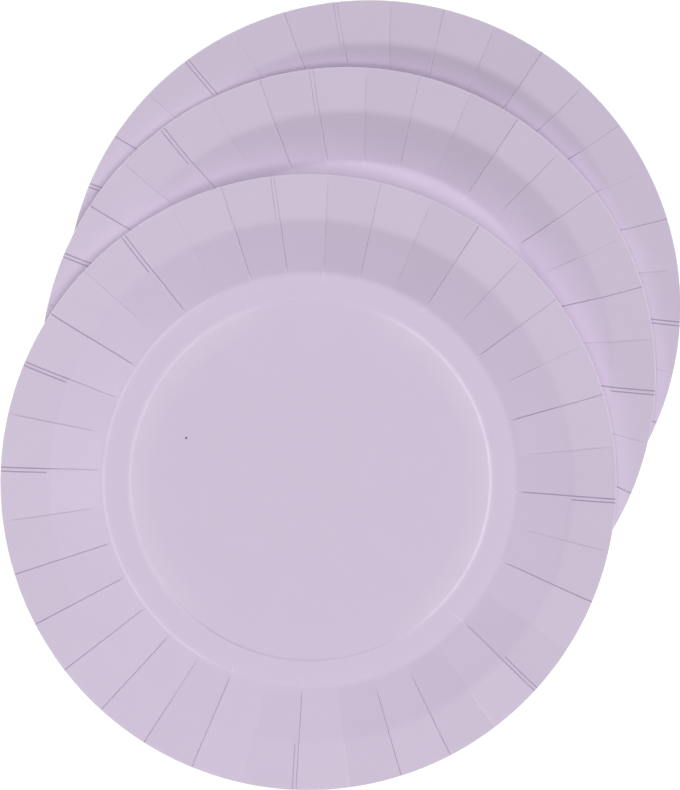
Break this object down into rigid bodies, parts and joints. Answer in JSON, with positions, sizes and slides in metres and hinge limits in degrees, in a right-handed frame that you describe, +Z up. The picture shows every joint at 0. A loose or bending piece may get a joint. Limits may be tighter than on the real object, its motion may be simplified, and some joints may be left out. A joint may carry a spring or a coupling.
{
  "type": "stack of paper plates",
  "caption": "Staggered stack of round pleated lilac paper plates, each with a raised centre disc, a sloped wall and a wide rim.",
  "frame": {"origin": "centre of the lowest plate, on the table", "axes": "+Z up, -Y the way the upper plates are set forward, +X to the right seen from the front (-Y) side"},
  "size_m": [0.225, 0.2892, 0.0588],
  "materials": {
    "lilac_board": "matt lilac face on white paperboard"
  },
  "bodies": {
    "root": {"plate_bottom": "lilac_board", "plate_middle": "lilac_board", "plate_top": "lilac_board"}
  },
  "joints": []
}
